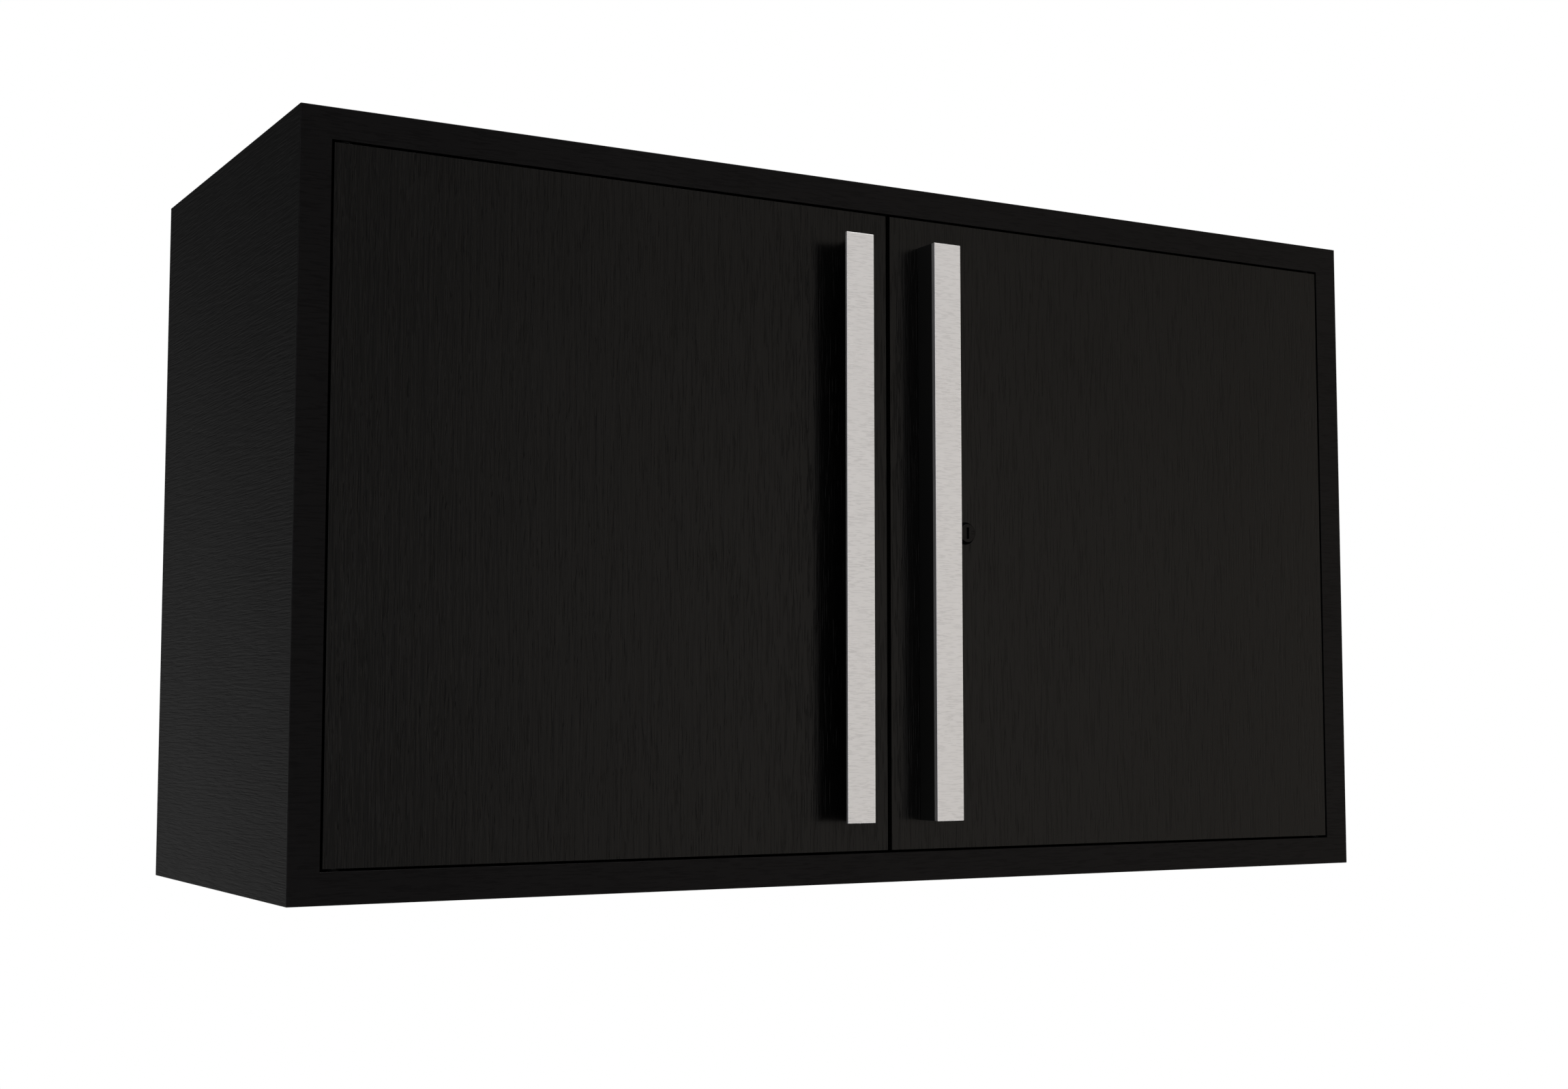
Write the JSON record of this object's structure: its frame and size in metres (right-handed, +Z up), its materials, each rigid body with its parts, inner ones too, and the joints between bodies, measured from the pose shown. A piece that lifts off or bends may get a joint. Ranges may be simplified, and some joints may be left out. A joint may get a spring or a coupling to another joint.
{
  "type": "wall storage cabinet with two doors",
  "caption": "Wall-hung near-black steel cabinet with flush doors in a face frame, full-height pale metal pulls, a shelf, and a key lock that drives an upper rod, a lower rod and a side bolt.",
  "frame": {"origin": "centre of the bounding box in plan, at the underside of the cabinet", "axes": "+Z up; -Y is the front with the doors and +Y points to the wall; +X is to the right seen from the front"},
  "size_m": [1.067, 0.4272, 0.6135],
  "materials": {
    "shell_finish": "near-black brushed coat with fine horizontal grain, satin",
    "door_finish": "near-black brushed coat with fine vertical grain, satin",
    "inner_coat": "black powder coat, fine texture",
    "pull_metal": "pale brushed metal with fine cross grain",
    "pull_black": "black coat, satin",
    "lock_metal": "dark satin plating",
    "zinc_steel": "zinc plated",
    "black_plastic": "moulded, fine matt",
    "bumper_rubber": "matt"
  },
  "bodies": {
    "carcass": {"back_panel": "inner_coat", "bottom_panel": "shell_finish", "door_bumper_left": "bumper_rubber", "door_bumper_right": "bumper_rubber", "frame_rail_bottom": "shell_finish", "frame_rail_top": "shell_finish", "frame_stile_left": "shell_finish", "frame_stile_right": "shell_finish", "hanging_rail_lower": "inner_coat", "hanging_rail_upper": "inner_coat", "magnetic_catch_left": "black_plastic", "magnetic_catch_right": "black_plastic", "pivot_bushing_left_bottom": "black_plastic", "pivot_bushing_left_top": "black_plastic", "pivot_bushing_right_bottom": "black_plastic", "pivot_bushing_right_top": "black_plastic", "shelf": "inner_coat", "shelf_clip_left_front": "zinc_steel", "shelf_clip_left_rear": "zinc_steel", "shelf_clip_right_front": "zinc_steel", "shelf_clip_right_rear": "zinc_steel", "shelf_standard_left_front": "zinc_steel", "shelf_standard_left_rear": "zinc_steel", "shelf_standard_right_front": "zinc_steel", "shelf_standard_right_rear": "zinc_steel", "side_panel_left": "shell_finish", "side_panel_right": "shell_finish", "top_panel": "shell_finish"},
    "door_left": {"bolt_keeper": "zinc_steel", "catch_strike_left": "zinc_steel", "door_inner_panel_left": "inner_coat", "door_pan_left": "door_finish", "door_stiffener_left": "inner_coat", "pivot_pin_left_bottom": "zinc_steel", "pivot_pin_left_top": "zinc_steel", "pull_plate_left": "pull_metal", "pull_screw_left_lower": "zinc_steel", "pull_screw_left_upper": "zinc_steel", "pull_web_left": "pull_black"},
    "door_right": {"bolt_guide": "black_plastic", "catch_strike_right": "zinc_steel", "door_inner_panel_right": "inner_coat", "door_pan_right": "door_finish", "door_stiffener_right": "inner_coat", "lock_housing": "lock_metal", "lock_nut": "zinc_steel", "pivot_pin_right_bottom": "zinc_steel", "pivot_pin_right_top": "zinc_steel", "pull_plate_right": "pull_metal", "pull_screw_right_lower": "zinc_steel", "pull_screw_right_upper": "zinc_steel", "pull_web_right": "pull_black", "rod_guide_lower": "black_plastic", "rod_guide_upper": "black_plastic"},
    "lock_cylinder": {"cam_screw": "zinc_steel", "lock_cam": "zinc_steel", "lock_plug": "lock_metal"},
    "lock_rod_up": {"lock_rod_upper": "zinc_steel"},
    "lock_rod_down": {"lock_rod_lower": "zinc_steel"},
    "lock_side_bolt": {"lock_bolt": "zinc_steel"}
  },
  "joints": [
    {"name": "door_left_hinge", "type": "hinge", "parent": "carcass", "child": "door_left", "pos_m": [-0.4959, -0.17995, 0.30675], "axis": [0, 0, 1], "range_deg": [-110, 0]},
    {"name": "door_right_hinge", "type": "hinge", "parent": "carcass", "child": "door_right", "pos_m": [0.4959, -0.17995, 0.30675], "axis": [0, 0, 1], "range_deg": [0, 110]},
    {"name": "lock_turn", "type": "hinge", "parent": "door_right", "child": "lock_cylinder", "pos_m": [0.081, -0.18595, 0.30675], "axis": [0, 1, 0], "range_deg": [0, 90]},
    {"name": "rod_up_slide", "type": "slide", "parent": "door_right", "child": "lock_rod_up", "axis": [0, 0, 1], "range_m": [0, 0.01415]},
    {"name": "rod_down_slide", "type": "slide", "parent": "door_right", "child": "lock_rod_down", "axis": [0, 0, -1], "range_m": [0, 0.01415]},
    {"name": "side_bolt_slide", "type": "slide", "parent": "door_right", "child": "lock_side_bolt", "axis": [-1, 0, 0], "range_m": [0, 0.01415]}
  ],
  "couplings": [
    {"joint": "rod_up_slide", "follows": "lock_turn", "m_per_rad": 0.009},
    {"joint": "rod_down_slide", "follows": "lock_turn", "m_per_rad": 0.009},
    {"joint": "side_bolt_slide", "follows": "lock_turn", "m_per_rad": 0.009}
  ]
}
